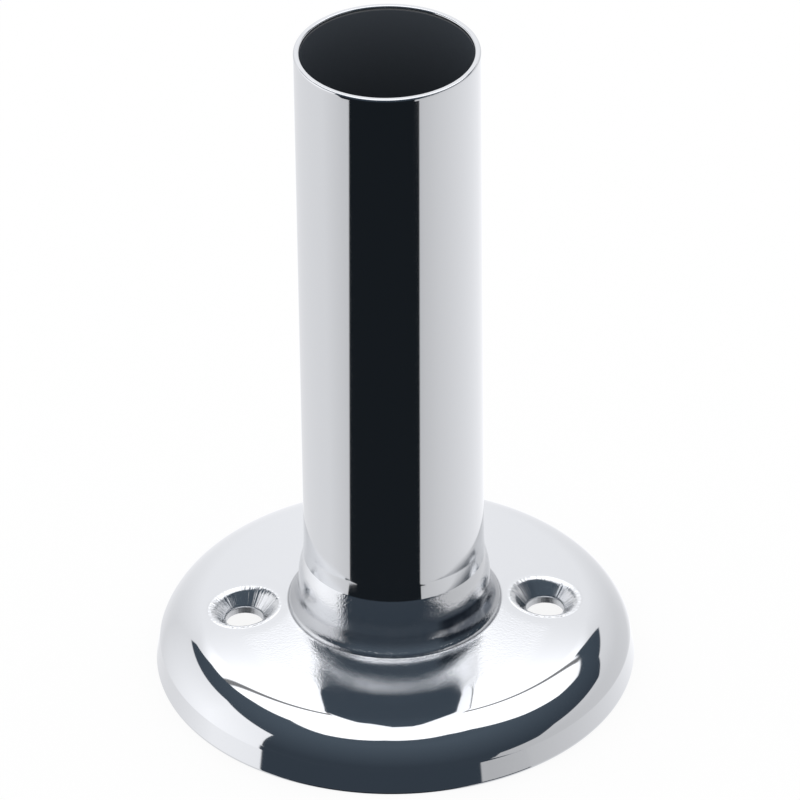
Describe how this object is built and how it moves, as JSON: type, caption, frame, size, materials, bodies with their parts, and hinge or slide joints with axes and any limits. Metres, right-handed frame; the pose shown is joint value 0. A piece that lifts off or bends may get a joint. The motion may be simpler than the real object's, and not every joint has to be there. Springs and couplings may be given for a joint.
{
  "type": "curtain rod flange",
  "caption": "Chromed round wall flange with a domed plate, countersunk screw holes and a long thin-walled socket tube that takes the end of a curtain rod.",
  "frame": {"origin": "centre of the plate's back face, which lies on the wall", "axes": "+Z along the tube's axis, away from the wall to its open mouth; +X through the two screw holes"},
  "size_m": [0.0748, 0.0748, 0.11],
  "materials": {
    "flange_plate": "bright chrome on pressed steel, polished, with some unpolished grain at the foot of the neck",
    "rod_tube": "bright chrome on steel tube, polished"
  },
  "bodies": {
    "root": {"flange_plate": "flange_plate", "rod_tube": "rod_tube"}
  },
  "joints": []
}
